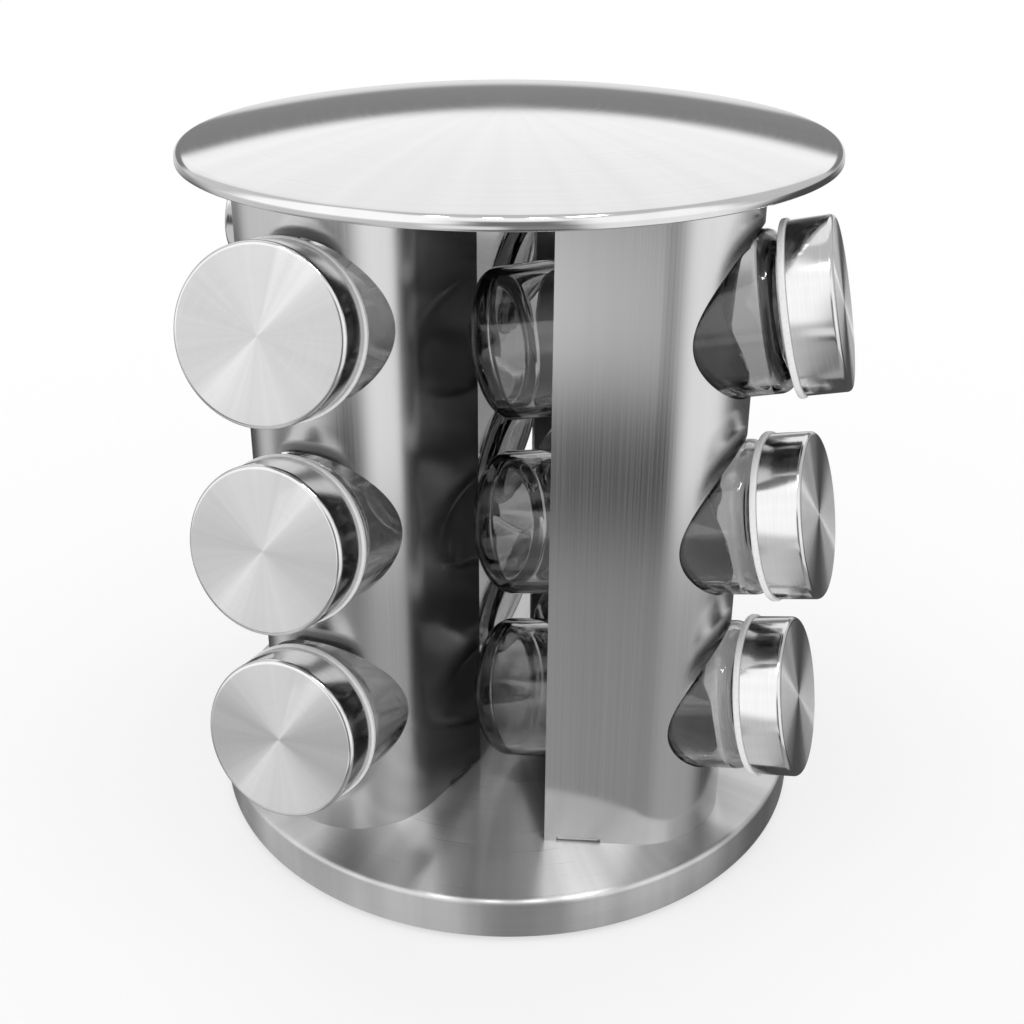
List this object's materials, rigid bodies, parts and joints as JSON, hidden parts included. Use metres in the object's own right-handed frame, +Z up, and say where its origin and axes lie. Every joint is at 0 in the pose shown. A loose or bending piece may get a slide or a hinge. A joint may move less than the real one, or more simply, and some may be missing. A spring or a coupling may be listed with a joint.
{
  "type": "rotating spice rack",
  "caption": "Free-standing rotating rack: bent-sheet columns on a turning base hold tilted glass jars with steel screw caps, under a shallow domed lid.",
  "frame": {"origin": "centre of the resting plane under the foot pads, on the rack's turning axis", "axes": "+Z up along the turning axis; +X out through the right column's side, -Y out through the front's"},
  "size_m": [0.2086, 0.2086, 0.2177],
  "materials": {
    "brushed_steel": "fine brushed",
    "polished_steel": "polished",
    "satin_steel": "satin",
    "inner_steel": "dull mill finish",
    "clear_glass": "clear, thick walled",
    "white_plastic": "glossy",
    "natural_plastic": "matte",
    "black_rubber": "matte"
  },
  "bodies": {
    "foot": {"foot_pads": "black_rubber", "foot_plate": "inner_steel", "lower_race": "inner_steel", "pivot_pin": "inner_steel", "pivot_clip": "inner_steel"},
    "ball_ring": {"bearing_balls": "polished_steel", "ball_cage": "natural_plastic"},
    "rotor": {"upper_race": "inner_steel", "turntable_plate": "inner_steel", "plate_studs": "inner_steel", "plate_spacers": "inner_steel", "plate_nuts": "inner_steel", "base_cover": "satin_steel", "column_right": "brushed_steel", "column_back": "brushed_steel", "column_left": "brushed_steel", "column_front": "brushed_steel", "base_rivets": "inner_steel", "top_plate": "inner_steel", "top_rivets": "inner_steel", "lid_shell": "polished_steel"},
    "jar_right_top": {"jar_right_top": "clear_glass"},
    "cap_right_top": {"liner_right_top": "white_plastic", "cap_right_top": "polished_steel"},
    "jar_right_middle": {"jar_right_middle": "clear_glass"},
    "cap_right_middle": {"liner_right_middle": "white_plastic", "cap_right_middle": "polished_steel"},
    "jar_right_bottom": {"jar_right_bottom": "clear_glass"},
    "cap_right_bottom": {"liner_right_bottom": "white_plastic", "cap_right_bottom": "polished_steel"},
    "jar_back_top": {"jar_back_top": "clear_glass"},
    "cap_back_top": {"liner_back_top": "white_plastic", "cap_back_top": "polished_steel"},
    "jar_back_middle": {"jar_back_middle": "clear_glass"},
    "cap_back_middle": {"liner_back_middle": "white_plastic", "cap_back_middle": "polished_steel"},
    "jar_back_bottom": {"jar_back_bottom": "clear_glass"},
    "cap_back_bottom": {"liner_back_bottom": "white_plastic", "cap_back_bottom": "polished_steel"},
    "jar_left_top": {"jar_left_top": "clear_glass"},
    "cap_left_top": {"liner_left_top": "white_plastic", "cap_left_top": "polished_steel"},
    "jar_left_middle": {"jar_left_middle": "clear_glass"},
    "cap_left_middle": {"liner_left_middle": "white_plastic", "cap_left_middle": "polished_steel"},
    "jar_left_bottom": {"jar_left_bottom": "clear_glass"},
    "cap_left_bottom": {"liner_left_bottom": "white_plastic", "cap_left_bottom": "polished_steel"},
    "jar_front_top": {"jar_front_top": "clear_glass"},
    "cap_front_top": {"liner_front_top": "white_plastic", "cap_front_top": "polished_steel"},
    "jar_front_middle": {"jar_front_middle": "clear_glass"},
    "cap_front_middle": {"liner_front_middle": "white_plastic", "cap_front_middle": "polished_steel"},
    "jar_front_bottom": {"jar_front_bottom": "clear_glass"},
    "cap_front_bottom": {"liner_front_bottom": "white_plastic", "cap_front_bottom": "polished_steel"}
  },
  "joints": [
    {"name": "rack_spin", "type": "hinge", "parent": "foot", "child": "rotor", "pos_m": [0, 0, 0], "axis": [0, 0, 1], "continuous": true},
    {"name": "ball_ring_roll", "type": "hinge", "parent": "foot", "child": "ball_ring", "pos_m": [0, 0, 0], "axis": [0, 0, 1], "continuous": true},
    {"name": "jar_right_top_slide", "type": "slide", "parent": "rotor", "child": "jar_right_top", "axis": [0.9742, 0.0425, 0.2215], "range_m": [0, 0.08]},
    {"name": "cap_right_top_turn", "type": "hinge", "parent": "jar_right_top", "child": "cap_right_top", "pos_m": [0.09918, -0.02881, 0.17776], "axis": [0.9742, 0.0425, 0.2215], "range_deg": [0, 360]},
    {"name": "jar_right_middle_slide", "type": "slide", "parent": "rotor", "child": "jar_right_middle", "axis": [0.9734, -0.0578, 0.2215], "range_m": [0, 0.08]},
    {"name": "cap_right_middle_turn", "type": "hinge", "parent": "jar_right_middle", "child": "cap_right_middle", "pos_m": [0.09916, -0.03233, 0.11926], "axis": [0.9734, -0.0578, 0.2215], "range_deg": [0, 360]},
    {"name": "jar_right_bottom_slide", "type": "slide", "parent": "rotor", "child": "jar_right_bottom", "axis": [0.9736, -0.0544, 0.2215], "range_m": [0, 0.08]},
    {"name": "cap_right_bottom_turn", "type": "hinge", "parent": "jar_right_bottom", "child": "cap_right_bottom", "pos_m": [0.09916, -0.03221, 0.06076], "axis": [0.9736, -0.0544, 0.2215], "range_deg": [0, 360]},
    {"name": "jar_back_top_slide", "type": "slide", "parent": "rotor", "child": "jar_back_top", "axis": [-0.0425, 0.9742, 0.2215], "range_m": [0, 0.08]},
    {"name": "cap_back_top_turn", "type": "hinge", "parent": "jar_back_top", "child": "cap_back_top", "pos_m": [0.02881, 0.09918, 0.17776], "axis": [-0.0425, 0.9742, 0.2215], "range_deg": [0, 360]},
    {"name": "jar_back_middle_slide", "type": "slide", "parent": "rotor", "child": "jar_back_middle", "axis": [0.0578, 0.9734, 0.2215], "range_m": [0, 0.08]},
    {"name": "cap_back_middle_turn", "type": "hinge", "parent": "jar_back_middle", "child": "cap_back_middle", "pos_m": [0.03233, 0.09916, 0.11926], "axis": [0.0578, 0.9734, 0.2215], "range_deg": [0, 360]},
    {"name": "jar_back_bottom_slide", "type": "slide", "parent": "rotor", "child": "jar_back_bottom", "axis": [0.0544, 0.9736, 0.2215], "range_m": [0, 0.08]},
    {"name": "cap_back_bottom_turn", "type": "hinge", "parent": "jar_back_bottom", "child": "cap_back_bottom", "pos_m": [0.03221, 0.09916, 0.06076], "axis": [0.0544, 0.9736, 0.2215], "range_deg": [0, 360]},
    {"name": "jar_left_top_slide", "type": "slide", "parent": "rotor", "child": "jar_left_top", "axis": [-0.9742, -0.0425, 0.2215], "range_m": [0, 0.08]},
    {"name": "cap_left_top_turn", "type": "hinge", "parent": "jar_left_top", "child": "cap_left_top", "pos_m": [-0.09918, 0.02881, 0.17776], "axis": [-0.9742, -0.0425, 0.2215], "range_deg": [0, 360]},
    {"name": "jar_left_middle_slide", "type": "slide", "parent": "rotor", "child": "jar_left_middle", "axis": [-0.9734, 0.0578, 0.2215], "range_m": [0, 0.08]},
    {"name": "cap_left_middle_turn", "type": "hinge", "parent": "jar_left_middle", "child": "cap_left_middle", "pos_m": [-0.09916, 0.03233, 0.11926], "axis": [-0.9734, 0.0578, 0.2215], "range_deg": [0, 360]},
    {"name": "jar_left_bottom_slide", "type": "slide", "parent": "rotor", "child": "jar_left_bottom", "axis": [-0.9736, 0.0544, 0.2215], "range_m": [0, 0.08]},
    {"name": "cap_left_bottom_turn", "type": "hinge", "parent": "jar_left_bottom", "child": "cap_left_bottom", "pos_m": [-0.09916, 0.03221, 0.06076], "axis": [-0.9736, 0.0544, 0.2215], "range_deg": [0, 360]},
    {"name": "jar_front_top_slide", "type": "slide", "parent": "rotor", "child": "jar_front_top", "axis": [0.0425, -0.9742, 0.2215], "range_m": [0, 0.08]},
    {"name": "cap_front_top_turn", "type": "hinge", "parent": "jar_front_top", "child": "cap_front_top", "pos_m": [-0.02881, -0.09918, 0.17776], "axis": [0.0425, -0.9742, 0.2215], "range_deg": [0, 360]},
    {"name": "jar_front_middle_slide", "type": "slide", "parent": "rotor", "child": "jar_front_middle", "axis": [-0.0578, -0.9734, 0.2215], "range_m": [0, 0.08]},
    {"name": "cap_front_middle_turn", "type": "hinge", "parent": "jar_front_middle", "child": "cap_front_middle", "pos_m": [-0.03233, -0.09916, 0.11926], "axis": [-0.0578, -0.9734, 0.2215], "range_deg": [0, 360]},
    {"name": "jar_front_bottom_slide", "type": "slide", "parent": "rotor", "child": "jar_front_bottom", "axis": [-0.0544, -0.9736, 0.2215], "range_m": [0, 0.08]},
    {"name": "cap_front_bottom_turn", "type": "hinge", "parent": "jar_front_bottom", "child": "cap_front_bottom", "pos_m": [-0.03221, -0.09916, 0.06076], "axis": [-0.0544, -0.9736, 0.2215], "range_deg": [0, 360]}
  ],
  "couplings": [
    {"joint": "ball_ring_roll", "follows": "rack_spin", "ratio": 0.5}
  ]
}
